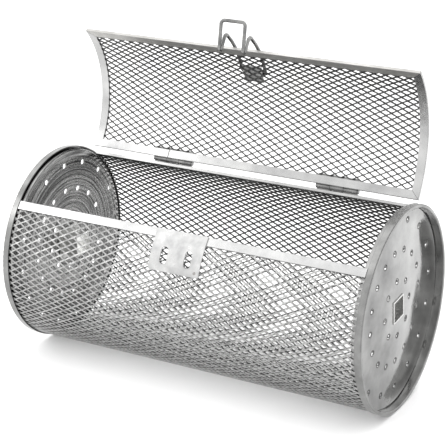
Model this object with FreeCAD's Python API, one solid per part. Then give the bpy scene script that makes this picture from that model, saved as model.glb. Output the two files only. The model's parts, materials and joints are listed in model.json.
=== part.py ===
import FreeCAD, Part
import math
import os

# Rotisserie basket: a drum of expanded metal with dished, perforated ends, a
# curved lid on two butt hinges and a spring wire latch.
# Axes: X along the drum, Y to the back, Z up. The origin is on the drum's axis,
# halfway along it. Angles run from +Y towards +Z about X. Millimetres throughout.
# The lid is drawn closed and then swung open, which is how the basket is stored.

# ---- overall -----------------------------------------------------------------
LENGTH = 292.0            # over the end rims
DRUM_R = 75.0             # outside radius of the end rims

# ---- sheet and gaps ----------------------------------------------------------
RIM_SHEET = 0.8           # end rims
RIM_GAP = 0.3             # between a rim's flanges and the mesh they grip
MESH_SHEET = 0.5          # plain sheet that stands for the expanded metal
TRIM_SHEET = 0.6          # folded edge trims
TRIM_GAP = 0.2            # between a trim's legs and the mesh they grip
DISC_SHEET = 0.8
PLATE_SHEET = 0.8         # catch plate and latch base
SEAT_GAP = 0.05           # under a plate or leaf that is spot welded on

# ---- end rims ----------------------------------------------------------------
RIM_WIDTH = 5.0           # outer flange, over the mesh
RIM_DEPTH = 8.2           # inner flange, around the disc
RIM_ROUND = 0.6           # rolled outer edge

# ---- end discs ---------------------------------------------------------------
DISC_GAP = 0.2            # between disc and rim
LIP_RECESS = 6.6          # outer edge of the disc, below the rim's face
RING_RECESS = 8.6         # lowest ring of the disc, below the rim's face
DOME_RECESS = 5.6         # crown of the dome, below the rim's face
RING_INSET = 11.5         # lowest ring, from the disc's edge
HOLE_R = 2.1
HOLE_EDGE = 9.3           # outermost row, from the disc's edge
INNER_ROW = 21.2          # radius of the innermost row
ROW_COUNTS = [16, 16, 8]
END_TURN = {"left": 4.1, "right": 5.7}

# ---- spit sockets ------------------------------------------------------------
SPIT_SQUARE = 15.0        # inside the square tube
SPIT_WALL = 0.9
SPIT_FLANGE = 24.0
SPIT_FLANGE_T = 1.2
SEAT_CLEAR = 0.265        # between the flange's corners and the disc
SPIT_PROUD = 0.7          # tube outside the dome's crown
SPIT_TUBE = 16.0
SPIT_FIT = 0.15           # around the tube in the disc

# ---- door --------------------------------------------------------------------
HINGE_ANGLE = 58.5
DOOR_ANGLE = 80.0         # from the hinge axis to the edge of the front trim
DOOR_GAP = 0.4            # at each long edge of the lid
LID_END_GAP = 0.8         # between the lid's ends and the rims' inner flanges
LID_OPEN = 94.5

# ---- edge trims --------------------------------------------------------------
FRONT_TRIM_W = 6.5
REAR_TRIM_W = 5.4
REAR_LEG_W = 1.4          # inner leg of the rear trim
LID_TRIM_W = 6.4
MITRE_GAP = 0.1
EDGE_INSET = 0.5          # from a trim's fold to the edge of the mesh in it
TRIM_END_GAP = 0.4        # between the drum's long trims and the end rims
SEAM_X = -69.3            # butt joint in the lid's hinge trim
SEAM_W = 0.4

# ---- hinges ------------------------------------------------------------------
HINGE_FROM_END = 76.6     # from the end of the drum to the middle of a hinge
HINGE_SHIFT = 3.5         # both hinges sit a little nearer the right end
HINGE_LEN = 32.4
BARREL_R = 2.1
PIN_R = 1.1
PIN_FIT = 0.06
PIN_HEAD_R = 1.7
PIN_HEAD_T = 0.7
KNUCKLE_GAP = 0.25
LEAF_T = 0.8
LEAF_W = 8.5
BARREL_SINK = 0.35        # lowest line of the barrels, below the leaves' outer faces
LEAF_RELIEF = 0.35        # between a leaf and the other leaf's knuckle
LEAF_SETBACK = 2.0        # from the hinge axis to a leaf between its knuckles

# ---- catch plate -------------------------------------------------------------
PLATE_W = 41.0
PLATE_H = 30.2            # around the drum, from the edge of the front trim
PLATE_ROUND = 1.6
SLOT_SIDE = 1.45          # on each side of the latch wire
SLOT_LEAD = 1.25          # before the wire's first leg
SLOT_TO = 25.0            # around the drum, from the edge of the front trim

# ---- latch -------------------------------------------------------------------
WIRE_R = 1.35
ARM_X = 9.7               # from the middle of the drum to each arm
LATCH_FIT = 0.12          # between the wire and its saddle
PIVOT_BACK = 26.6         # around the drum, from the front trim back to the pivot
ARM_CLEAR = 0.4           # between the arms and the lid's front trim
APEX_CLEAR = 0.5          # between the arms and the catch plate
APEX_PAST = 15.2          # around the drum, from the front trim to the arms' end
DIP_PAST = 14.4
DIP_DEPTH = 17.0          # below the end rims' radius
LOOP_PAST = 25.2
LOOP_RISE = 8.6           # above the end rims' radius
BUTT_GAP = 0.5            # between the ends of the wire, under the saddle
BEND_R = 2.8
ARM_BEND_R = 14.0
DIP_BEND_R = 1.6
SADDLE_W = 10.0
SADDLE_T = 0.8
SADDLE_FOOT = 4.0
BASE_W = 16.0
BASE_L = 14.0

# ---- values that follow ------------------------------------------------------
HALF = LENGTH / 2
HINGE_X = HALF - HINGE_FROM_END
MESH_OUT = DRUM_R - RIM_SHEET - RIM_GAP
MESH_IN = MESH_OUT - MESH_SHEET
TRIM_OUT = MESH_OUT + TRIM_GAP + TRIM_SHEET
TRIM_IN = MESH_IN - TRIM_GAP - TRIM_SHEET
RIM_IN = MESH_IN - RIM_GAP - RIM_SHEET
DISC_R = RIM_IN - DISC_GAP
ROW_STEP = (DISC_R - HOLE_EDGE - INNER_ROW) / (len(ROW_COUNTS) - 1)
SEAT_R = TRIM_OUT + SEAT_GAP
LEAF_OUT = SEAT_R + LEAF_T
PLATE_OUT = SEAT_R + PLATE_SHEET
HINGE_R = LEAF_OUT + BARREL_R - BARREL_SINK
FRONT_ANGLE = HINGE_ANGLE + DOOR_ANGLE
LID_HALF = HALF - RIM_DEPTH - LID_END_GAP
BASE_OUT = MESH_OUT + SEAT_GAP + PLATE_SHEET
PIVOT_R = BASE_OUT + LATCH_FIT + WIRE_R
SLOT_W = 2 * (WIRE_R + SLOT_SIDE)
SLOT_FROM = APEX_PAST - WIRE_R - SLOT_LEAD

os.makedirs("parts", exist_ok=True)
Vec = FreeCAD.Vector
X_AXIS = Vec(1, 0, 0)


def turn(length):
    """Degrees that a length takes up around the drum."""
    return math.degrees(length / DRUM_R)


def at(r, angle, x=0.0):
    a = math.radians(angle)
    return Vec(x, r * math.cos(a), r * math.sin(a))


def axes(angle):
    """Outward and around directions at an angle of the drum."""
    a = math.radians(angle)
    return Vec(0, math.cos(a), math.sin(a)), Vec(0, -math.sin(a), math.cos(a))


def face(points):
    return Part.Face(Part.makePolygon(points + [points[0]]))


def sector(r0, r1, a0, a1, x0, x1):
    """Part of a tube about X, between two angles."""
    mid = (a0 + a1) / 2
    outer = Part.Arc(at(r1, a0, x0), at(r1, mid, x0), at(r1, a1, x0)).toShape()
    inner = Part.Arc(at(r0, a1, x0), at(r0, mid, x0), at(r0, a0, x0)).toShape()
    start = Part.makeLine(at(r0, a0, x0), at(r1, a0, x0))
    end = Part.makeLine(at(r1, a1, x0), at(r0, a1, x0))
    outline = Part.Wire(Part.__sortEdges__([start, outer, end, inner]))
    return Part.Face(outline).extrude(Vec(x1 - x0, 0, 0))


def rod(r, x0, x1, centre):
    base = Vec(x0, centre.y, centre.z)
    return Part.makeCylinder(r, x1 - x0, base, X_AXIS)


def slab(angle, r0, r1, t0, t1, x0, x1):
    """Box set square to the drum's surface at an angle."""
    out, around = axes(angle)
    corners = []
    for t in (t0, t1):
        for x in (x0, x1):
            corners.append(out * r0 + around * t + Vec(x, 0, 0))
    base = face([corners[0], corners[1], corners[3], corners[2]])
    return base.extrude(out * (r1 - r0))


def prism(angle, outline, r0, r1):
    """Outline in (x, around) at an angle, carried outwards from r0 to r1."""
    out, around = axes(angle)
    points = [out * r0 + around * t + Vec(x, 0, 0) for x, t in outline]
    return face(points).extrude(out * (r1 - r0))


def one_solid(shape):
    shape = shape.removeSplitter()
    return shape.Solids[0] if len(shape.Solids) == 1 else shape


HINGE = at(HINGE_R, HINGE_ANGLE)
nodes = {}
lid_nodes = []


def add(name, shape, on_lid=False):
    nodes[name] = one_solid(shape)
    if on_lid:
        lid_nodes.append(name)


# ---- expanded metal ----------------------------------------------------------
def slot_tool(x):
    """Round-ended slot through the catch plate and the mesh behind it."""
    middle = FRONT_ANGLE + turn((SLOT_FROM + SLOT_TO) / 2)
    straight = (SLOT_TO - SLOT_FROM) / 2 - SLOT_W / 2
    out, around = axes(middle)
    depth0 = MESH_IN - 2.0
    height = PLATE_OUT + 2.0 - depth0
    half_w = SLOT_W / 2
    tool = slab(middle, depth0, depth0 + height, -straight, straight, x - half_w, x + half_w)
    for side in (-1, 1):
        foot = out * depth0 + around * (side * straight) + Vec(x, 0, 0)
        tool = tool.fuse(Part.makeCylinder(half_w, height, foot, out))
    return tool


slots = [slot_tool(-ARM_X), slot_tool(ARM_X)]
inset = turn(TRIM_SHEET + EDGE_INSET)
rim_end = HALF - RIM_SHEET - RIM_GAP
rear_edge = HINGE_ANGLE - turn(DOOR_GAP)
drum_mesh = sector(MESH_IN, MESH_OUT, FRONT_ANGLE + inset, 360 + rear_edge - inset,
                   -rim_end, rim_end)
for tool in slots:
    drum_mesh = drum_mesh.cut(tool)
add("drum_mesh", drum_mesh)

lid_start = HINGE_ANGLE + turn(DOOR_GAP)
lid_stop = FRONT_ANGLE - turn(DOOR_GAP)
lid_side = LID_HALF - TRIM_SHEET - EDGE_INSET
add("lid_mesh", sector(MESH_IN, MESH_OUT, lid_start + inset, lid_stop - inset,
                       -lid_side, lid_side), True)


# ---- edge trims --------------------------------------------------------------
def long_trim(edge, side, width, half):
    """Folded strip along X whose fold is at an angle; side is where it goes."""
    far = edge + side * turn(width)
    strip = sector(TRIM_IN, TRIM_OUT, min(edge, far), max(edge, far), -half, half)
    near = edge + side * turn(TRIM_SHEET)
    past = far + side * turn(1.0)
    channel = sector(MESH_IN - TRIM_GAP, MESH_OUT + TRIM_GAP, min(near, past),
                     max(near, past), -half - 1, half + 1)
    return strip.cut(channel)


def corner(edge, side, end, keep_long):
    """Piece to cut off at a mitred corner of the lid's frame."""
    reach = LID_TRIM_W + 3.0
    shift = MITRE_GAP / 2 * (1 if keep_long else -1)
    top = (end * (LID_HALF + reach), side * (-reach - shift))
    low = (end * (LID_HALF - reach), side * (reach - shift))
    third = (end * (LID_HALF + reach), side * reach)
    if not keep_long:
        third = (end * (LID_HALF - reach), side * (-reach))
    return prism(edge, [top, low, third], TRIM_IN - 3, TRIM_OUT + 3)


def drum_trim(edge, side, width):
    """Long trim of the door; its inner leg stops short of the rims' flanges."""
    half = HALF - RIM_WIDTH - TRIM_END_GAP
    trim = long_trim(edge, side, width, half)
    far = edge + side * turn(width + 2)
    a0, a1 = sorted([edge - side, far])
    clear = HALF - RIM_DEPTH - TRIM_END_GAP
    for end in (-1, 1):
        x0, x1 = sorted([end * clear, end * (half + 1)])
        trim = trim.cut(sector(TRIM_IN - 1, MESH_IN - TRIM_GAP / 2, a0, a1, x0, x1))
    return trim


add("front_trim", drum_trim(FRONT_ANGLE, 1, FRONT_TRIM_W))
rear_trim = drum_trim(rear_edge, -1, REAR_TRIM_W)
rear_far = rear_edge - turn(REAR_TRIM_W + 2)
add("rear_trim", rear_trim.cut(sector(TRIM_IN - 1, MESH_IN - TRIM_GAP / 2, rear_far,
                                      rear_edge - turn(REAR_LEG_W), -HALF, HALF)))

for name, edge, side in (("lid_hinge_trim", lid_start, 1), ("lid_front_trim", lid_stop, -1)):
    trim = long_trim(edge, side, LID_TRIM_W, LID_HALF)
    for end in (-1, 1):
        trim = trim.cut(corner(edge, side, end, True))
    if name == "lid_hinge_trim":
        trim = trim.cut(sector(TRIM_IN - 1, MESH_IN - TRIM_GAP / 2, edge - 1, edge + turn(LID_TRIM_W + 1),
                               SEAM_X - SEAM_W / 2, SEAM_X + SEAM_W / 2))
    add(name, trim, True)

for name, end in (("lid_left_trim", -1), ("lid_right_trim", 1)):
    xs = sorted([end * LID_HALF, end * (LID_HALF - LID_TRIM_W)])
    trim = sector(TRIM_IN, TRIM_OUT, lid_start, lid_stop, xs[0], xs[1])
    xs = sorted([end * (LID_HALF - TRIM_SHEET), end * (LID_HALF - LID_TRIM_W - 1)])
    trim = trim.cut(sector(MESH_IN - TRIM_GAP, MESH_OUT + TRIM_GAP, lid_start - 1,
                           lid_stop + 1, xs[0], xs[1]))
    for edge, side in ((lid_start, 1), (lid_stop, -1)):
        trim = trim.cut(corner(edge, side, end, False))
    add(name, trim, True)


# ---- drum ends ---------------------------------------------------------------
def end_rim(end):
    """Channel that grips the mesh and holds the disc."""
    inner = MESH_IN - RIM_GAP
    outline = [(RIM_WIDTH, DRUM_R), (0, DRUM_R), (0, RIM_IN), (RIM_DEPTH, RIM_IN),
               (RIM_DEPTH, inner), (RIM_SHEET, inner), (RIM_SHEET, DRUM_R - RIM_SHEET),
               (RIM_WIDTH, DRUM_R - RIM_SHEET)]
    points = [Vec(end * (HALF - d), 0, r) for d, r in outline]
    ring = face(points).revolve(Vec(0, 0, 0), X_AXIS, 360)
    rolled = []
    for edge in ring.Edges:
        curve = edge.Curve
        if not isinstance(curve, Part.Circle):
            continue
        on_face = abs(abs(curve.Center.x) - HALF) < 0.01
        if on_face:
            rolled.append(edge)
    return ring.makeFillet(RIM_ROUND, rolled)


def disc_line(extra):
    """Radius and depth below the rim's face along the disc's section."""
    ring = DISC_R - RING_INSET
    return [(0.0, DOME_RECESS + extra),
            (ring * 0.2, DOME_RECESS + extra + (RING_RECESS - DOME_RECESS) * 0.05),
            (ring * 0.6, DOME_RECESS + extra + (RING_RECESS - DOME_RECESS) * 0.62),
            (ring, RING_RECESS + extra),
            (DISC_R - 5.0, RING_RECESS + extra - (RING_RECESS - LIP_RECESS) * 0.2),
            (DISC_R, LIP_RECESS + extra)]


def end_disc(end):
    """Dished disc with rows of round holes and a square hole for the spit."""
    lines = []
    for extra in (0.0, DISC_SHEET):
        points = [Vec(end * (HALF - d), 0, r) for r, d in disc_line(extra)]
        curve = Part.BSplineCurve()
        slopes = [Vec(0, 0, 1)] + [Vec(0, 0, 0)] * (len(points) - 1)
        flags = [True] + [False] * (len(points) - 1)
        curve.interpolate(Points=points, Tangents=slopes, TangentFlags=flags)
        lines.append((curve.toShape(), points))
    (front, fp), (back, bp) = lines
    edges = [front, Part.makeLine(fp[-1], bp[-1]), back, Part.makeLine(bp[0], fp[0])]
    section = Part.Face(Part.Wire(Part.__sortEdges__(edges)))
    disc = section.revolve(Vec(0, 0, 0), X_AXIS, 360)
    inside = HALF - RING_RECESS - DISC_SHEET - 2.0
    depth = RING_RECESS + DISC_SHEET + 3.0
    start = inside if end > 0 else -inside - depth
    tools = []
    side = "right" if end > 0 else "left"
    for row, count in enumerate(ROW_COUNTS):
        radius = DISC_R - HOLE_EDGE - row * ROW_STEP
        for k in range(count):
            centre = at(radius, END_TURN[side] + 360.0 * k / count)
            tools.append(rod(HOLE_R, start, start + depth, centre))
    tools.append(square_bar(SPIT_SQUARE / 2 + SPIT_WALL + SPIT_FIT, start, start + depth, side))
    return disc.cut(Part.makeCompound(tools))


def square_bar(half, x0, x1, side):
    """Square bar about the drum's axis, turned with that end."""
    bar = Part.makeBox(x1 - x0, 2 * half, 2 * half, Vec(x0, -half, -half))
    bar.rotate(Vec(0, 0, 0), X_AXIS, END_TURN[side])
    return bar


def spit_socket(end):
    side = "right" if end > 0 else "left"
    half = SPIT_SQUARE / 2

    def span(d0, d1):
        return sorted([end * (HALF - d0), end * (HALF - d1)])

    mouth = DOME_RECESS - SPIT_PROUD
    x0, x1 = span(mouth, mouth + SPIT_TUBE)
    tube = square_bar(half + SPIT_WALL, x0, x1, side)
    corner_r = SPIT_FLANGE / math.sqrt(2)
    fall = (RING_RECESS - DOME_RECESS) * (corner_r / (DISC_R - RING_INSET)) ** 2
    seat = DOME_RECESS + DISC_SHEET + SEAT_CLEAR + fall
    f0, f1 = span(seat, seat + SPIT_FLANGE_T)
    flange = square_bar(SPIT_FLANGE / 2, f0, f1, side)
    return tube.fuse(flange).cut(square_bar(half, x0 - 5, x1 + 5, side))


for side, end in (("left", -1), ("right", 1)):
    add(side + "_end_rim", end_rim(end))
    add(side + "_end_disc", end_disc(end))
    add(side + "_spit_socket", spit_socket(end))

# ---- hinges ------------------------------------------------------------------
knuckle = (HINGE_LEN - 2 * KNUCKLE_GAP) / 3
reach = turn(LEAF_W)


def hinge_leaf(middle, side, spans):
    """Leaf on one side of the hinge axis, with a knuckle in each span."""
    x0 = middle - HINGE_LEN / 2
    x1 = middle + HINGE_LEN / 2
    setback = HINGE_ANGLE + side * turn(LEAF_SETBACK)
    a0, a1 = sorted([setback, HINGE_ANGLE + side * reach])
    leaf = sector(SEAT_R, LEAF_OUT, a0, a1, x0, x1)
    leaf = leaf.cut(rod(BARREL_R + LEAF_RELIEF, x0 - 1, x1 + 1, HINGE))
    root = HINGE_ANGLE + side * turn(LEAF_SETBACK + 0.5)
    b0, b1 = sorted([HINGE_ANGLE, root])
    for k0, k1 in spans:
        leaf = leaf.fuse(sector(SEAT_R, LEAF_OUT, b0, b1, middle + k0, middle + k1))
        leaf = leaf.fuse(rod(BARREL_R, middle + k0, middle + k1, HINGE))
    return leaf.cut(rod(PIN_R + PIN_FIT, x0 - 1, x1 + 1, HINGE))


outer = [(-HINGE_LEN / 2, -HINGE_LEN / 2 + knuckle), (HINGE_LEN / 2 - knuckle, HINGE_LEN / 2)]
inner = [(-knuckle / 2, knuckle / 2)]
for side, middle in (("left", HINGE_SHIFT - HINGE_X), ("right", HINGE_SHIFT + HINGE_X)):
    add(side + "_drum_leaf", hinge_leaf(middle, -1, outer))
    add(side + "_lid_leaf", hinge_leaf(middle, 1, inner), True)
    x0 = middle - HINGE_LEN / 2 - PIN_FIT
    x1 = middle + HINGE_LEN / 2 + PIN_FIT
    pin = rod(PIN_R, x0 - PIN_HEAD_T, x1 + PIN_HEAD_T, HINGE)
    pin = pin.fuse(rod(PIN_HEAD_R, x0 - PIN_HEAD_T, x0, HINGE))
    pin = pin.fuse(rod(PIN_HEAD_R, x1, x1 + PIN_HEAD_T, HINGE))
    add(side + "_hinge_pin", pin)


# ---- catch plate -------------------------------------------------------------
def catch_plate():
    plate = sector(SEAT_R, PLATE_OUT, FRONT_ANGLE, FRONT_ANGLE + turn(PLATE_H),
                   -PLATE_W / 2, PLATE_W / 2)
    corners = []
    for edge in plate.Edges:
        ends = [v.Point for v in edge.Vertexes]
        if len(ends) == 2 and abs((ends[0] - ends[1]).Length - PLATE_SHEET) < 0.01:
            if min(p.z for p in ends) < at(SEAT_R, FRONT_ANGLE + turn(PLATE_H / 2)).z:
                corners.append(edge)
    plate = plate.makeFillet(PLATE_ROUND, corners)
    for tool in slots:
        plate = plate.cut(tool)
    return plate


add("catch_plate", catch_plate())

# ---- latch -------------------------------------------------------------------
PIVOT_ANGLE = FRONT_ANGLE - turn(PIVOT_BACK)
PIVOT = at(PIVOT_R, PIVOT_ANGLE)


def rounded_path(points, radii):
    """Line through the points with an arc of the given radius at each bend."""
    edges = []
    last = points[0]
    for k in range(1, len(points) - 1):
        here = points[k]
        back = (points[k - 1] - here).normalize()
        ahead = (points[k + 1] - here).normalize()
        opening = back.getAngle(ahead)
        trim = radii[k] / math.tan(opening / 2)
        start = here + back * trim
        stop = here + ahead * trim
        inward = (back + ahead).normalize()
        centre = here + inward * (radii[k] / math.sin(opening / 2))
        edges.append(Part.makeLine(last, start))
        edges.append(Part.Arc(start, centre - inward * radii[k], stop).toShape())
        last = stop
    edges.append(Part.makeLine(last, points[-1]))
    return Part.Wire(edges)


def latch_wire():
    arm_r = TRIM_OUT + ARM_CLEAR + WIRE_R
    over_plate = PLATE_OUT + APEX_CLEAR / 2 + WIRE_R
    apex_r = PLATE_OUT + APEX_CLEAR + WIRE_R
    side = [(PIVOT_R, -PIVOT_BACK, BEND_R),
            (arm_r, -PIVOT_BACK * 0.62, ARM_BEND_R),
            (over_plate, -PIVOT_BACK * 0.26, ARM_BEND_R),
            (over_plate, APEX_PAST * 0.24, ARM_BEND_R),
            (apex_r, APEX_PAST, BEND_R),
            (DRUM_R - DIP_DEPTH, DIP_PAST, DIP_BEND_R),
            (DRUM_R + LOOP_RISE, LOOP_PAST, BEND_R)]
    points = [at(PIVOT_R, PIVOT_ANGLE, BUTT_GAP / 2)]
    radii = [0.0]
    for r, past, bend in side:
        points.append(at(r, FRONT_ANGLE + turn(past), ARM_X))
        radii.append(bend)
    mirror = [Vec(-p.x, p.y, p.z) for p in reversed(points)]
    points = points + mirror
    radii = radii + list(reversed(radii))
    path = rounded_path(points, radii)
    section = Part.Wire([Part.makeCircle(WIRE_R, points[0], X_AXIS)])
    return path.makePipeShell([section], True, False)


add("latch_wire", latch_wire(), True)
add("latch_base", slab(PIVOT_ANGLE, BASE_OUT - PLATE_SHEET, BASE_OUT, -BASE_L / 2,
                       BASE_L / 2, -BASE_W / 2, BASE_W / 2), True)


def latch_saddle():
    bore = WIRE_R + LATCH_FIT
    wall = bore + SADDLE_T
    half = SADDLE_W / 2
    strap = rod(wall, -half, half, PIVOT)
    strap = strap.cut(slab(PIVOT_ANGLE, BASE_OUT - 5, BASE_OUT, -5, 5, -half - 1, half + 1))
    strap = strap.fuse(slab(PIVOT_ANGLE, BASE_OUT, PIVOT_R, -wall, wall, -half, half))
    foot = wall + SADDLE_FOOT
    strap = strap.fuse(slab(PIVOT_ANGLE, BASE_OUT, BASE_OUT + SADDLE_T, -foot, foot, -half, half))
    strap = strap.cut(rod(bore, -half - 1, half + 1, PIVOT))
    return strap.cut(slab(PIVOT_ANGLE, BASE_OUT - 1, PIVOT_R, -bore, bore, -half - 1, half + 1))


add("latch_saddle", latch_saddle(), True)

# ---- swing the lid open and write the pieces ---------------------------------
for name in lid_nodes:
    nodes[name].rotate(HINGE, X_AXIS, -LID_OPEN)

swung = FreeCAD.Placement(Vec(0, 0, 0), FreeCAD.Rotation(X_AXIS, -LID_OPEN), HINGE)
pivot_now = swung.multVec(PIVOT)
print("lid hinge at y %.3f z %.3f" % (HINGE.y, HINGE.z))
print("latch pivot at y %.3f z %.3f" % (pivot_now.y, pivot_now.z))

for name, shape in nodes.items():
    if len(shape.Solids) != 1 or not shape.isValid():
        raise ValueError("%s is not one sound solid" % name)
    shape.exportStep("parts/" + name + ".step")
print("wrote %d pieces" % len(nodes))
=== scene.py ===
import bmesh
import bpy
import json
import math
import numpy as np
from mathutils import Matrix, Vector


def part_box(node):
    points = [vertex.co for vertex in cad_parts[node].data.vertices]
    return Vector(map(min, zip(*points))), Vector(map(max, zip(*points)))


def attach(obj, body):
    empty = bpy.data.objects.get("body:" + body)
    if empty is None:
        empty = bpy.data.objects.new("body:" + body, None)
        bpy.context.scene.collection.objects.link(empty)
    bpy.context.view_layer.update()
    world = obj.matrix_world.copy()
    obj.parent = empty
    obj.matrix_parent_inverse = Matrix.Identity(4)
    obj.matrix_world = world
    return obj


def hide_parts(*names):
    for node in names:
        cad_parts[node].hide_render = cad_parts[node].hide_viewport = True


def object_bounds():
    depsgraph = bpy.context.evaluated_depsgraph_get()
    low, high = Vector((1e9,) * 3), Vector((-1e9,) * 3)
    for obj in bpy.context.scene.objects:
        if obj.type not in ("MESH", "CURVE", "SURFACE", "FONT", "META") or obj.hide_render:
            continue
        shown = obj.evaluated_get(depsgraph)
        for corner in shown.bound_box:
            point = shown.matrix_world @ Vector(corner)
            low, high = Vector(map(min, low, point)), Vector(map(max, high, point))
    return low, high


# Looks of the rotisserie basket, in metres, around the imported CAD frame. X runs along
# the drum, Y to the back, Z up. Angles run from +Y towards +Z about X.
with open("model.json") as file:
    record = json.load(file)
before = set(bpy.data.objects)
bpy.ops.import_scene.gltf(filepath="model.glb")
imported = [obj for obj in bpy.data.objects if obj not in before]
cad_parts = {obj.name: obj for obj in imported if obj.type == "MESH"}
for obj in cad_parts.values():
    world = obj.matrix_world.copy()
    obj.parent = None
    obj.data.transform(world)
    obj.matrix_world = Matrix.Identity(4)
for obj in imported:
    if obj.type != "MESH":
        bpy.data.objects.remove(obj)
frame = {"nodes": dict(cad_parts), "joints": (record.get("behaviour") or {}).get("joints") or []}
cad_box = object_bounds()
MM = 0.001

# ---- sizes from the frame ----------------------------------------------------------
rim_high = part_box("right_end_rim")[1]
HALF = rim_high.x
DRUM_R = rim_high.z
mesh_low, mesh_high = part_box("drum_mesh")
MESH_OUT = -mesh_low.z
MESH_HALF = mesh_high.x
lid_hinge = next(j for j in frame["joints"] if j["name"] == "lid_hinge")
latch_pivot = next(j for j in frame["joints"] if j["name"] == "latch_pivot")
HINGE = Vector(lid_hinge["pos_m"])
LID_OPEN = math.radians(lid_hinge["range_deg"][1])

# ---- sizes of the expanded metal ---------------------------------------------------
MESH_R = MESH_OUT - 0.25 * MM      # middle of the sheet
LONG_WAY = 8.72 * MM               # of a diamond, along the drum
LID_SHORT_WAY = 4.80 * MM          # around the drum
DRUM_SHORT_WAY = 4.93 * MM
BOND_X = 1.05 * MM                 # from the middle of a bond to its sharp corners
BOND_S = 0.65 * MM                 # and to its blunt corners
WAIST = 0.88                       # strand width half way, as a share of the bond's
STRAND_T = 0.45 * MM
TILT = 0.20 * MM                   # rise of a strand's upper edge, fall of its lower one
WANDER = 0.07 * MM                 # a bond lies up to this far off its place
DOOR_EDGE = math.radians(138.5)    # edge of the front trim
DRUM_FROM = math.radians(139.34)   # of the drum mesh, and of the lid mesh when shut
DRUM_TO = math.radians(417.35)
LID_FROM = math.radians(59.65)
LID_TO = math.radians(137.35)
LID_SIDE = 135.9 * MM              # half the length of the lid mesh
LATCH_X = 9.7 * MM                 # each of the latch wire's arms, from the middle
SLIT_HALF = 1.9 * MM               # the latch wire's way through the lattice
SLIT_FROM = 13.2 * MM              # around the drum, from the edge of the front trim
SLIT_TO = 24.4 * MM
SAME_POINT = 0.0005 * MM           # corners closer than this are joined
DRUM_SEED = 3
LID_SEED = 5

# ---- sizes of the small details ----------------------------------------------------
HOLE_R = 2.1 * MM                  # vent holes
HOLE_EDGE = 9.3 * MM               # outermost row, from the disc's edge
INNER_ROW = 21.2 * MM              # radius of the innermost row
outer_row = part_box("right_end_disc")[1].z - HOLE_EDGE
HOLE_ROWS = ((outer_row, 16), ((outer_row + INNER_ROW) / 2, 16), (INNER_ROW, 8))
END_TURN = {"left": 4.1, "right": 5.7}   # degrees, to the first hole of every row
HOLE_PROBES = 6                    # places around a hole where its disc is sampled
PROBE_R = 1.25 * HOLE_R
PROBE_START = HALF + 0.01
BEAD_AT = 2.30 * MM                # bead around a hole, radius of its middle
BEAD_R = 0.26 * MM
BEAD_TURNS = 20
WELD = [(1.25 * MM, -0.04 * MM), (1.15 * MM, 0.05 * MM),     # (radius, height)
        (0.80 * MM, 0.11 * MM), (0.30 * MM, 0.13 * MM)]
WELD_TURNS = 16
LEAF_WELD_GAP = 11 * MM            # between the welds of a hinge leaf
LEAF_WELD_PAST = 6.2 * MM          # around the drum, from the hinge's axis
PLATE_WELD_X = 16.8 * MM
PLATE_WELD_PAST = 27.0 * MM        # around the drum, from the edge of the front trim
BASE_WELD_X = (-6.5 * MM, 6.5 * MM)
BASE_WELD_PAST = (-5.0 * MM, 5.0 * MM)   # around the drum, from the latch's pivot
REACH = 0.09                       # a radius outside everything


# ---- node helpers ------------------------------------------------------------------
def new_material(name):
    mat = bpy.data.materials.new(name)
    mat.use_nodes = True
    tree = mat.node_tree
    shader = tree.nodes["Principled BSDF"]
    return mat, tree, shader


def new_metal(name):
    mat, tree, shader = new_material(name)
    shader.inputs["Metallic"].default_value = 1.0
    return mat, tree, shader


def node(tree, kind, inputs=None, **settings):
    """New shader node with its settings and its unlinked inputs."""
    made = tree.nodes.new(kind)
    for key, value in settings.items():
        setattr(made, key, value)
    for key, value in (inputs or {}).items():
        made.inputs[key].default_value = value
    return made


def math_node(tree, operation, a, b=None):
    """Result of an operation on one or two sockets or numbers."""
    made = node(tree, "ShaderNodeMath", operation=operation)
    for k, value in enumerate((a, b)):
        if value is None:
            continue
        if isinstance(value, (int, float)):
            made.inputs[k].default_value = value
        else:
            tree.links.new(value, made.inputs[k])
    return made.outputs[0]


def object_point(tree, stretch=(1, 1, 1)):
    coords = node(tree, "ShaderNodeTexCoord")
    mapping = node(tree, "ShaderNodeMapping", {"Scale": stretch})
    tree.links.new(coords.outputs["Object"], mapping.inputs["Vector"])
    return mapping.outputs["Vector"]


def drum_point(tree, along, outward, around=0.0):
    """Coordinates on a turned surface: along X, out from the axis, and around it."""
    coords = node(tree, "ShaderNodeTexCoord")
    split = node(tree, "ShaderNodeSeparateXYZ")
    tree.links.new(coords.outputs["Object"], split.inputs[0])
    y, z = split.outputs[1], split.outputs[2]
    radius = math_node(tree, "SQRT", math_node(
        tree, "ADD", math_node(tree, "MULTIPLY", y, y), math_node(tree, "MULTIPLY", z, z)))
    joined = node(tree, "ShaderNodeCombineXYZ")
    tree.links.new(math_node(tree, "MULTIPLY", split.outputs[0], along), joined.inputs[0])
    tree.links.new(math_node(tree, "MULTIPLY", radius, outward), joined.inputs[1])
    if around:
        angle = math_node(tree, "ARCTAN2", z, y)
        tree.links.new(math_node(tree, "MULTIPLY", angle, around), joined.inputs[2])
    return joined.outputs[0]


def noise(tree, vector, scale, detail=3.0, rough=0.55):
    made = node(tree, "ShaderNodeTexNoise",
                {"Scale": scale, "Detail": detail, "Roughness": rough})
    tree.links.new(vector, made.inputs["Vector"])
    return made.outputs["Fac"]


def remap(tree, value, low, high, from_low=0.3, from_high=0.7):
    """Value scaled to run from low to high over the range a noise mostly takes."""
    made = node(tree, "ShaderNodeMapRange", {
        "From Min": from_low, "From Max": from_high, "To Min": low, "To Max": high})
    tree.links.new(value, made.inputs["Value"])
    return made.outputs["Result"]


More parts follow.
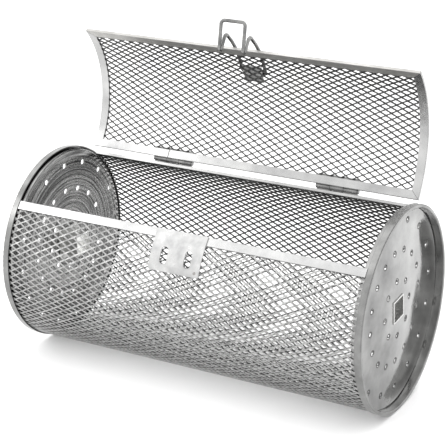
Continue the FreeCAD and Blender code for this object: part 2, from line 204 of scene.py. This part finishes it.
def two_tone(tree, value, dark, light, from_low=0.3, from_high=0.7):
    """Colour between dark and light by the value of a noise."""
    ramp = node(tree, "ShaderNodeValToRGB")
    ramp.color_ramp.elements[0].position = from_low
    ramp.color_ramp.elements[0].color = (*dark, 1)
    ramp.color_ramp.elements[1].position = from_high
    ramp.color_ramp.elements[1].color = (*light, 1)
    tree.links.new(value, ramp.inputs["Fac"])
    return ramp.outputs["Color"]


def add_bump(tree, shader, heights):
    """Chains bumps, each a (height, distance in metres) pair, onto the shader."""
    last = None
    for height, distance in heights:
        bump = node(tree, "ShaderNodeBump", {"Strength": 1.0, "Distance": distance})
        tree.links.new(height, bump.inputs["Height"])
        if last is not None:
            tree.links.new(last, bump.inputs["Normal"])
        last = bump.outputs["Normal"]
    tree.links.new(last, shader.inputs["Normal"])


def painted_edge_shade(tree, colour, reach, dark=0.12):
    """Painted shade: darkens a colour along the sharp edges of a folded strip."""
    bevel = node(tree, "ShaderNodeBevel", {"Radius": reach}, samples=4)
    geometry = node(tree, "ShaderNodeNewGeometry")
    dot = node(tree, "ShaderNodeVectorMath", operation="DOT_PRODUCT")
    tree.links.new(bevel.outputs["Normal"], dot.inputs[0])
    tree.links.new(geometry.outputs["True Normal"], dot.inputs[1])
    amount = remap(tree, dot.outputs["Value"], low=1.0, high=0.0,
                   from_low=0.90, from_high=0.985)
    mix = node(tree, "ShaderNodeMix", data_type="RGBA")
    tree.links.new(amount, mix.inputs["Factor"])
    plain, painted_shade_colour = [socket for socket in mix.inputs if socket.type == "RGBA"]
    tree.links.new(colour, plain)
    painted_shade_colour.default_value = (dark, dark, dark, 1)
    return next(socket for socket in mix.outputs if socket.type == "RGBA")


# ---- materials ---------------------------------------------------------------------
STRIP_ROUGH = (0.16, 0.30)         # smoothest and roughest places of a rolled strip


def expanded_skin(name, dark, light):
    """Rolled faces of the strands: satin, a little different from strand to strand."""
    mat, tree, shader = new_metal(name)
    patches = noise(tree, object_point(tree), scale=260.0, detail=2.0)
    tree.links.new(two_tone(tree, patches, dark, light), shader.inputs["Base Color"])
    tree.links.new(remap(tree, patches, low=0.42, high=0.26), shader.inputs["Roughness"])
    grain = noise(tree, object_point(tree, (0.35, 1, 1)), scale=3200.0, detail=2.0)
    add_bump(tree, shader, [(grain, 0.02 * MM)])
    return mat


def expanded_edge(name, dark, light):
    """Sheared sides of the strands: darker and rougher, with fine tear lines."""
    mat, tree, shader = new_metal(name)
    tear = noise(tree, object_point(tree), scale=1800.0, detail=4.0)
    tree.links.new(two_tone(tree, tear, dark, light), shader.inputs["Base Color"])
    tree.links.new(remap(tree, tear, low=0.55, high=0.36), shader.inputs["Roughness"])
    add_bump(tree, shader, [(tear, 0.04 * MM)])
    return mat


def rolled_strip(name, along_x, dark, light, rough=STRIP_ROUGH):
    """Bright rolled strip: fine lines along its length, faint handling marks."""
    mat, tree, shader = new_metal(name)
    if along_x:
        lines_at = object_point(tree, (6, 900, 900))
    else:
        lines_at = drum_point(tree, 900, 900, 0.4)
    lines = noise(tree, lines_at, scale=1.0, detail=4.0, rough=0.7)
    marks = noise(tree, object_point(tree), scale=42.0, detail=4.0)
    # Painted shade darkens the colour along the strip's sharp edges.
    tree.links.new(painted_edge_shade(tree, two_tone(tree, marks, dark, light), reach=0.45 * MM),
                   shader.inputs["Base Color"])
    mixed = math_node(tree, "ADD", math_node(tree, "MULTIPLY", lines, 0.4),
                      math_node(tree, "MULTIPLY", marks, 0.6))
    tree.links.new(remap(tree, mixed, low=rough[1], high=rough[0]), shader.inputs["Roughness"])
    waves = noise(tree, object_point(tree, (1, 2.4, 2.4)), scale=34.0, detail=1.0)
    add_bump(tree, shader, [(waves, 0.35 * MM), (lines, 0.012 * MM)])
    return mat


def turned_rim(name, dark, light):
    """Rolled rims: polished, with fine lines around them."""
    mat, tree, shader = new_metal(name)
    lines = noise(tree, drum_point(tree, 1500, 1500, 0.6), scale=1.0, detail=3.0, rough=0.6)
    marks = noise(tree, object_point(tree), scale=55.0, detail=4.0)
    colour = two_tone(tree, marks, dark, light)
    # Painted shade darkens the colour along the rim's sharp edges.
    tree.links.new(painted_edge_shade(tree, colour, reach=0.55 * MM), shader.inputs["Base Color"])
    tree.links.new(remap(tree, marks, low=0.24, high=0.12), shader.inputs["Roughness"])
    waves = noise(tree, object_point(tree), scale=22.0, detail=1.0)
    add_bump(tree, shader, [(waves, 0.3 * MM), (lines, 0.008 * MM)])
    return mat


def spun_disc(name, dark, light):
    """End discs: polished outside, with strong spinning rings on the inner face."""
    mat, tree, shader = new_metal(name)
    place = node(tree, "ShaderNodeSeparateXYZ")
    tree.links.new(node(tree, "ShaderNodeTexCoord").outputs["Object"], place.inputs[0])
    facing = node(tree, "ShaderNodeSeparateXYZ")
    tree.links.new(node(tree, "ShaderNodeNewGeometry").outputs["True Normal"],
                   facing.inputs[0])
    side = math_node(tree, "MULTIPLY", math_node(tree, "SIGN", place.outputs[0]),
                     facing.outputs[0])
    inside = math_node(tree, "LESS_THAN", side, 0.0)
    rings = noise(tree, drum_point(tree, 0.0, 620.0, 0.25), scale=1.0, detail=3.0, rough=0.65)
    fine = noise(tree, drum_point(tree, 0.0, 1900.0, 0.5), scale=1.0, detail=2.0, rough=0.6)
    smears = noise(tree, object_point(tree), scale=26.0, detail=5.0, rough=0.6)
    ring_shade = math_node(tree, "MULTIPLY", math_node(tree, "SUBTRACT", rings, 0.5),
                           math_node(tree, "MULTIPLY", inside, 3.4))
    shade = math_node(tree, "ADD", smears, ring_shade)
    tree.links.new(two_tone(tree, shade, dark, light, from_low=0.2, from_high=0.75),
                   shader.inputs["Base Color"])
    outer_rough = remap(tree, smears, low=0.03, high=0.10)
    rough = math_node(tree, "ADD", outer_rough, math_node(tree, "MULTIPLY", inside, 0.16))
    tree.links.new(rough, shader.inputs["Roughness"])
    ring_share = math_node(tree, "ADD", math_node(tree, "MULTIPLY", inside, 0.9), 0.1)
    ring_height = math_node(tree, "MULTIPLY", rings, ring_share)
    dents = noise(tree, object_point(tree), scale=30.0, detail=1.0)
    add_bump(tree, shader, [(dents, 0.5 * MM), (ring_height, 0.09 * MM), (fine, 0.004 * MM)])
    return mat


def satin_sheet(name, dark, light, scale=60.0):
    """Satin sheet with soft patches of the given scale."""
    mat, tree, shader = new_metal(name)
    patches = noise(tree, object_point(tree), scale, 4.0)
    tree.links.new(two_tone(tree, patches, dark, light), shader.inputs["Base Color"])
    tree.links.new(remap(tree, patches, low=0.36, high=0.22), shader.inputs["Roughness"])
    grain = noise(tree, object_point(tree, (1, 4, 4)), scale=1400.0, detail=3.0)
    waves = noise(tree, object_point(tree), scale=48.0, detail=1.0)
    add_bump(tree, shader, [(waves, 0.2 * MM), (grain, 0.012 * MM)])
    return mat


def drawn_wire(name, dark, light):
    """Drawn wire: bright, with die lines and a few darker scuffs."""
    mat, tree, shader = new_metal(name)
    scuffs = noise(tree, object_point(tree), scale=150.0, detail=5.0, rough=0.65)
    tree.links.new(two_tone(tree, scuffs, dark, light), shader.inputs["Base Color"])
    tree.links.new(remap(tree, scuffs, low=0.34, high=0.16), shader.inputs["Roughness"])
    lines = noise(tree, object_point(tree, (3, 1, 1)), scale=1500.0, detail=2.0)
    add_bump(tree, shader, [(lines, 0.015 * MM)])
    return mat


def floor_material(name, dark, light):
    """Matt pale floor."""
    mat, tree, shader = new_material(name)
    shader.inputs["Roughness"].default_value = 0.85
    shader.inputs["Specular IOR Level"].default_value = 0.1
    cloud = noise(tree, object_point(tree), scale=2.0, detail=2.0)
    tree.links.new(two_tone(tree, cloud, dark, light), shader.inputs["Base Color"])
    return mat


# Every metal has a darker and a lighter base colour.
MATERIALS = {
    "skin": expanded_skin("expanded_outside", (0.20, 0.20, 0.198), (0.40, 0.40, 0.395)),
    # Inside faces of the strands: the same rolled skin as outside, painted darker as shade.
    "inside_painted_shade": expanded_skin("expanded_inside_painted_shade", (0.04, 0.04, 0.04), (0.10, 0.10, 0.099)),
    "edge": expanded_edge("expanded_edge", (0.02, 0.02, 0.02), (0.07, 0.07, 0.068)),
    "long_strip": rolled_strip("long_strip", True, (0.30, 0.30, 0.30), (0.46, 0.46, 0.455)),
    "front_strip": rolled_strip("front_strip", True, (0.38, 0.38, 0.38), (0.58, 0.58, 0.575)),
    "side_strip": rolled_strip("side_strip", False, (0.30, 0.30, 0.30), (0.46, 0.46, 0.455)),
    # Lid's front trim: the same rolled strip in a lighter tone, painted light to lift the shade
    # on it.
    "lid_strip_painted_light": rolled_strip("lid_strip_painted_light", True, (0.36, 0.355, 0.34), (0.54, 0.535, 0.52),
                              rough=(0.40, 0.55)),
    "rim": turned_rim("turned_rim", (0.16, 0.16, 0.158), (0.30, 0.30, 0.295)),
    "disc": spun_disc("spun_disc", (0.09, 0.09, 0.09), (0.41, 0.41, 0.405)),
    "plate": satin_sheet("plate_sheet", (0.34, 0.34, 0.34), (0.54, 0.54, 0.535), scale=120.0),
    "hinge": satin_sheet("hinge_sheet", (0.14, 0.14, 0.14), (0.28, 0.28, 0.275), scale=110.0),
    # Spit sockets: lighter than the other sheet, painted light so their shaded insides read
    # grey.
    "socket": satin_sheet("socket_tube_painted_light", (0.50, 0.50, 0.49), (0.70, 0.70, 0.69)),
    "wire": drawn_wire("drawn_wire", (0.10, 0.10, 0.10), (0.27, 0.27, 0.265)),
    "hole_rim": satin_sheet("hole_rim", (0.10, 0.10, 0.10), (0.24, 0.24, 0.235), scale=400.0),
    "weld": satin_sheet("weld", (0.16, 0.155, 0.15), (0.34, 0.33, 0.32), scale=500.0),
    "floor": floor_material("pale_floor", (0.88, 0.88, 0.88), (0.90, 0.90, 0.90)),
}

NODE_LOOKS = {
    "long_strip": ["rear_trim", "lid_hinge_trim"],
    "front_strip": ["front_trim"],
    "lid_strip_painted_light": ["lid_front_trim"],
    "side_strip": ["lid_left_trim", "lid_right_trim"],
    "rim": ["left_end_rim", "right_end_rim"],
    "disc": ["left_end_disc", "right_end_disc"],
    "plate": ["catch_plate", "latch_base", "latch_saddle"],
    "hinge": ["left_drum_leaf", "right_drum_leaf", "left_lid_leaf", "right_lid_leaf"],
    "socket": ["left_spit_socket", "right_spit_socket"],
    "wire": ["latch_wire", "left_hinge_pin", "right_hinge_pin"],
}
for look, names in NODE_LOOKS.items():
    for name in names:
        data = frame["nodes"][name].data
        data.materials.clear()
        data.materials.append(MATERIALS[look])


# ---- expanded metal ----------------------------------------------------------------
def on_drum(x, s, r):
    """Points of the closed basket from places along X and around the drum."""
    angle = s / MESH_R
    return np.stack([x, r * np.cos(angle), r * np.sin(angle)], axis=-1)


def clip(points, walls, axis, limit, keep_below):
    """Part of a convex polygon on one side of a line, and which edges are walls."""
    sign = 1.0 if keep_below else -1.0
    out_points, out_walls = [], []
    count = len(points)
    for k in range(count):
        here, there = points[k], points[(k + 1) % count]
        d0 = sign * (here[axis] - limit)
        d1 = sign * (there[axis] - limit)
        if d0 <= 0:
            out_points.append(here)
            out_walls.append(walls[k])
            if d1 > 0:
                out_points.append(here + (there - here) * (d0 / (d0 - d1)))
                out_walls.append(True)
        elif d1 <= 0:
            out_points.append(here + (there - here) * (d0 / (d0 - d1)))
            out_walls.append(walls[k])
    return out_points, out_walls


def outside_slit(points, walls, slit):
    """What is left of a polygon around a slit, as several convex polygons."""
    x0, x1, s0, s1 = slit
    found = []
    rest = (points, walls)
    for axis, limit, below in ((0, x0, True), (0, x1, False), (1, s0, True), (1, s1, False)):
        part = clip(*rest, axis, limit, below)
        if len(part[0]) >= 3:
            found.append(part)
        rest = clip(*rest, axis, limit, not below)
        if len(rest[0]) < 3:
            break
    return found


class Lattice:
    """Diamonds between two angles of the drum, as one connected sheet of strands."""

    def __init__(self, side, start, stop, short_way, seed, slits):
        self.columns = round(2 * (side - BOND_X) / LONG_WAY)
        self.pitch = 2 * (side - BOND_X) / self.columns
        arc = (stop - start) * MESH_R - 2 * BOND_S
        self.rows = round(arc / (short_way / 2))
        self.step = arc / self.rows
        self.first = start * MESH_R + BOND_S
        self.side = side - BOND_X
        self.random = np.random.default_rng(seed)
        self.points = []
        self.faces = []
        self.looks = []                # of each face: 0 outside, 1 wall, 2 inside (inside painted darker as shade)
        self.slits = slits
        self.middle = {}               # of each bond, by row and column

    def set_bonds(self):
        """Middle of each bond, moved a little except at the sheet's edges."""
        for row in range(self.rows + 1):
            odd = row % 2
            for column in range(self.columns + 1 - odd):
                x = -self.side + (column + 0.5 * odd) * self.pitch
                s = self.first + row * self.step
                inner = 0 < row < self.rows and 0 < column < self.columns - odd
                move = self.random.uniform(-WANDER, WANDER, 2) * inner
                self.middle[row, column] = np.array([x + move[0], s + move[1]])

    def neighbours(self, row, column):
        """Bonds of the next row, to the left and right of a bond."""
        odd = row % 2
        return {-1: (row + 1, column - 1 + odd), 1: (row + 1, column + odd)}

    def corner(self, key, way):
        """Corner of a bond: (x, s, rise)."""
        x, s = self.middle[key]
        return np.array({"left": (x - BOND_X, s, 0.0), "right": (x + BOND_X, s, 0.0),
                         "up": (x, s + BOND_S, TILT), "down": (x, s - BOND_S, -TILT)}[way])

    def add_plate(self, points, walls):
        """Closed plate from an outline in (x, s, rise), with a wall on some edges."""
        flat = np.array(points)
        base = len(self.points)
        for side in (0.5, -0.5):
            r = MESH_R + flat[:, 2] + side * STRAND_T
            self.points.extend(on_drum(flat[:, 0], flat[:, 1], r))
        n = len(points)
        outer = [base + k for k in range(n)]
        inner = [base + n + k for k in range(n)]
        self.faces.append(outer[::-1])
        self.faces.append(inner)
        self.looks.extend([0, 2])
        for k in range(n):
            if walls[k]:
                j = (k + 1) % n
                self.faces.append([outer[k], outer[j], inner[j], inner[k]])
                self.looks.append(1)

    def place(self, points, walls):
        """Adds a plate, or what the slits leave of it."""
        low = np.min(points, axis=0)
        high = np.max(points, axis=0)
        for slit in self.slits:
            x0, x1, s0, s1 = slit
            if high[0] > x0 and low[0] < x1 and high[1] > s0 and low[1] < s1:
                for part in outside_slit(points, walls, slit):
                    self.add_plate(*part)
                return
        self.add_plate(points, walls)

    def add_bond(self, key, strands):
        """Diamond where strands meet, with a wall where no strand leaves it."""
        row, column = key
        odd = row % 2
        has = [(row - 1, column + odd, -1) in strands, (row, column, 1) in strands,
               (row, column, -1) in strands, (row - 1, column - 1 + odd, 1) in strands]
        outline = [self.corner(key, way) for way in ("down", "right", "up", "left")]
        self.place(outline, [not h for h in has])

    def add_strand(self, row, column, way):
        """Strand from a bond up to the left or right, in two halves with a waist."""
        here, there = (row, column), self.neighbours(row, column)[way]
        near = "right" if way > 0 else "left"
        far = "left" if way > 0 else "right"
        low0, high0 = self.corner(here, near), self.corner(here, "up")
        low1, high1 = self.corner(there, "down"), self.corner(there, far)
        centre = (low0 + low1 + high0 + high1) / 4
        low = centre + ((low0 + low1) / 2 - centre) * WAIST
        high = centre + ((high0 + high1) / 2 - centre) * WAIST
        low[2], high[2] = -TILT, TILT
        first = [low0, low, high, high0]
        second = [low, low1, high1, high]
        walls = [True, False, True, False]
        if way < 0:
            first, second = first[::-1], second[::-1]
        self.place(first, walls)
        self.place(second, walls)

    def build(self):
        self.set_bonds()
        strands = {(row, column, way) for row, column in self.middle
                   for way, other in self.neighbours(row, column).items()
                   if other in self.middle}
        for key in self.middle:
            self.add_bond(key, strands)
        for strand in sorted(strands):
            self.add_strand(*strand)


def add_object(name, data):
    obj = bpy.data.objects.new(name, data)
    bpy.context.scene.collection.objects.link(obj)
    return obj


def lattice_object(name, side, start, stop, short_way, seed, slits=()):
    made = Lattice(side, start, stop, short_way, seed, slits)
    made.build()
    mesh = bpy.data.meshes.new(name)
    mesh.from_pydata([tuple(p) for p in made.points], [], made.faces)
    for look in ("skin", "edge", "inside_painted_shade"):
        mesh.materials.append(MATERIALS[look])
    mesh.polygons.foreach_set("material_index", made.looks)
    obj = add_object(name, mesh)
    work = bmesh.new()
    work.from_mesh(mesh)
    bmesh.ops.remove_doubles(work, verts=work.verts, dist=SAME_POINT)
    work.to_mesh(mesh)
    work.free()
    mesh.update()
    return obj


door_edge = DOOR_EDGE * MESH_R
slit_rows = (door_edge + SLIT_FROM * MESH_R / DRUM_R,
             door_edge + SLIT_TO * MESH_R / DRUM_R)
slits = [(x - SLIT_HALF, x + SLIT_HALF, *slit_rows) for x in (-LATCH_X, LATCH_X)]
drum_lattice = lattice_object("drum_lattice", MESH_HALF, DRUM_FROM, DRUM_TO,
                              DRUM_SHORT_WAY, DRUM_SEED, slits)
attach(drum_lattice, "drum")
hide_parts("drum_mesh")

lid_lattice = lattice_object("lid_lattice", LID_SIDE, LID_FROM, LID_TO,
                             LID_SHORT_WAY, LID_SEED)
swing = (Matrix.Translation(HINGE) @ Matrix.Rotation(-LID_OPEN, 4, "X")
         @ Matrix.Translation(-HINGE))      # from shut to open, as stored
lid_lattice.data.transform(swing)
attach(lid_lattice, "lid")
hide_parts("lid_mesh")


# ---- small details -----------------------------------------------------------------
def hit(node_name, start, way):
    """Place and outward direction where a line first meets a CAD node."""
    found, place, normal, _ = frame["nodes"][node_name].ray_cast(start, way)
    if not found:
        raise ValueError("%s is not met" % node_name)
    return place, normal


def lathe_piece(name, spots, section, closed, turns, body, look):
    """One mesh of turned shapes, one at each (place, normal) spot: rings or caps."""
    points, faces = [], []
    for place, normal in spots:
        across = normal.orthogonal().normalized()
        other = normal.cross(across)
        base = len(points)
        for r, h in section:
            for k in range(turns):
                angle = 2 * math.pi * k / turns
                out = across * math.cos(angle) + other * math.sin(angle)
                points.append(place + out * r + normal * h)
        count = len(section)
        for j in range(count if closed else count - 1):
            for k in range(turns):
                a, b = base + j * turns, base + (j + 1) % count * turns
                n = (k + 1) % turns
                faces.append((a + k, a + n, b + n, b + k))
        if not closed:
            faces.append([base + k for k in range(turns)][::-1])
            faces.append([base + (count - 1) * turns + k for k in range(turns)])
    mesh = bpy.data.meshes.new(name)
    mesh.from_pydata([tuple(p) for p in points], [], faces)
    work = bmesh.new()
    work.from_mesh(mesh)
    bmesh.ops.recalc_face_normals(work, faces=work.faces)
    work.to_mesh(mesh)
    work.free()
    for polygon in mesh.polygons:
        polygon.use_smooth = True
    mesh.materials.append(MATERIALS[look])
    obj = add_object(name, mesh)
    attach(obj, body)


def hole_spots(side, sign):
    """Middle and direction of each vent hole's outer mouth."""
    spots = []
    node_name = side + "_end_disc"
    for row_r, count in HOLE_ROWS:
        for k in range(count):
            angle = math.radians(END_TURN[side] + 360.0 * k / count)
            middle = Vector((0, row_r * math.cos(angle), row_r * math.sin(angle)))
            place, normal = Vector(), Vector()
            for probe in range(HOLE_PROBES):
                turned = math.radians(360 / HOLE_PROBES * probe)
                start = middle + Vector((sign * PROBE_START, PROBE_R * math.cos(turned),
                                         PROBE_R * math.sin(turned)))
                met, way = hit(node_name, start, Vector((-sign, 0, 0)))
                place += met / HOLE_PROBES
                normal += way / HOLE_PROBES
            spots.append((place, normal.normalized()))
    return spots


def weld_spot(node_name, x, angle, swung):
    """Place and direction of a weld, found from outside the closed basket."""
    outward = Vector((0, math.cos(angle), math.sin(angle)))
    start = outward * REACH + Vector((x, 0, 0))
    if swung:
        start = swing @ start
        outward = swing.to_3x3() @ outward
    return hit(node_name, start, -outward)


def leaf_spots(kind, direction, swung):
    """Three welds on each hinge's leaf of a kind."""
    spots = []
    angle = math.atan2(HINGE.z, HINGE.y) + direction * LEAF_WELD_PAST / DRUM_R
    for side in ("left", "right"):
        node_name = side + "_" + kind
        low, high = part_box(node_name)
        middle = (low.x + high.x) / 2
        for x in (middle - LEAF_WELD_GAP, middle, middle + LEAF_WELD_GAP):
            spots.append(weld_spot(node_name, x, angle, swung))
    return spots


bead = [(BEAD_AT + BEAD_R * math.cos(math.radians(a)), BEAD_R * math.sin(math.radians(a)))
        for a in range(0, 360, 60)]
for side, sign in (("left", -1), ("right", 1)):
    lathe_piece(side + "_hole_rims", hole_spots(side, sign), bead, True, BEAD_TURNS,
                "drum", "hole_rim")

plate_spots = [weld_spot("catch_plate", PLATE_WELD_X,
                         DOOR_EDGE + PLATE_WELD_PAST / DRUM_R, False)]
lathe_piece("drum_welds", leaf_spots("drum_leaf", -1, False) + plate_spots, WELD, False,
            WELD_TURNS, "drum", "weld")

pivot_place = swing.inverted() @ Vector(latch_pivot["pos_m"])
pivot_angle = math.atan2(pivot_place.z, pivot_place.y)
base_spots = [weld_spot("latch_base", x, pivot_angle + past / DRUM_R, True)
              for x in BASE_WELD_X for past in BASE_WELD_PAST]
lathe_piece("lid_welds", leaf_spots("lid_leaf", 1, True) + base_spots, WELD, False,
            WELD_TURNS, "lid", "weld")


# ---- floor, lights, camera ---------------------------------------------------------
FLOOR_REACH = 6.0
WORLD_STRENGTH = 1.6
AZIMUTH = math.radians(29.27)      # of the camera, from -Y towards +X
ELEVATION = math.radians(19.80)
DISTANCE = 1.1066                  # from the point it is aimed at
AIM = Vector((-0.0050, 0.0108, 0.0340))
SENSOR_WIDTH = 36.0                # sensor and lens in millimetres
LENS = 119.94

floor_z = cad_box[0].z
corners = [(x * FLOOR_REACH, y * FLOOR_REACH, floor_z)
           for x, y in ((-1, -1), (1, -1), (1, 1), (-1, 1))]
floor_mesh = bpy.data.meshes.new("floor")
floor_mesh.from_pydata(corners, [], [(0, 1, 2, 3)])
floor_mesh.materials.append(MATERIALS["floor"])
floor = add_object("floor", floor_mesh)

world = bpy.data.worlds.new("studio")
bpy.context.scene.world = world
world.use_nodes = True
sky = world.node_tree.nodes["Background"]
sky.inputs["Color"].default_value = (1, 1, 1, 1)
sky.inputs["Strength"].default_value = WORLD_STRENGTH


def softbox(name, place, aim, width, height, watts):
    """Area light at a place, turned to face the point it is aimed at."""
    light = bpy.data.lights.new(name, "AREA")
    light.shape = "RECTANGLE"
    light.size = width
    light.size_y = height
    light.energy = watts
    obj = add_object(name, light)
    obj.location = place
    obj.rotation_euler = (Vector(aim) - Vector(place)).to_track_quat("-Z", "Y").to_euler()


softbox("top_box", (-0.2, 0.3, 2.2), aim=(0, 0, 0), width=3.2, height=3.2, watts=20.0)
softbox("left_box", (-1.5, -0.9, 0.9), aim=(0, 0, 0.05), width=1.0, height=1.2, watts=8.0)

back = Vector((math.sin(AZIMUTH) * math.cos(ELEVATION),
               -math.cos(AZIMUTH) * math.cos(ELEVATION), math.sin(ELEVATION)))
camera_data = bpy.data.cameras.new("camera")
camera_data.sensor_width = SENSOR_WIDTH
camera_data.lens = LENS
camera_data.clip_start = 0.05
camera_data.clip_end = 50.0
camera = add_object("camera", camera_data)
camera.location = AIM + back * DISTANCE
camera.rotation_mode = "QUATERNION"
camera.rotation_quaternion = (-back).to_track_quat("-Z", "Y")
bpy.context.scene.camera = camera
bpy.context.scene.view_settings.view_transform = "Standard"
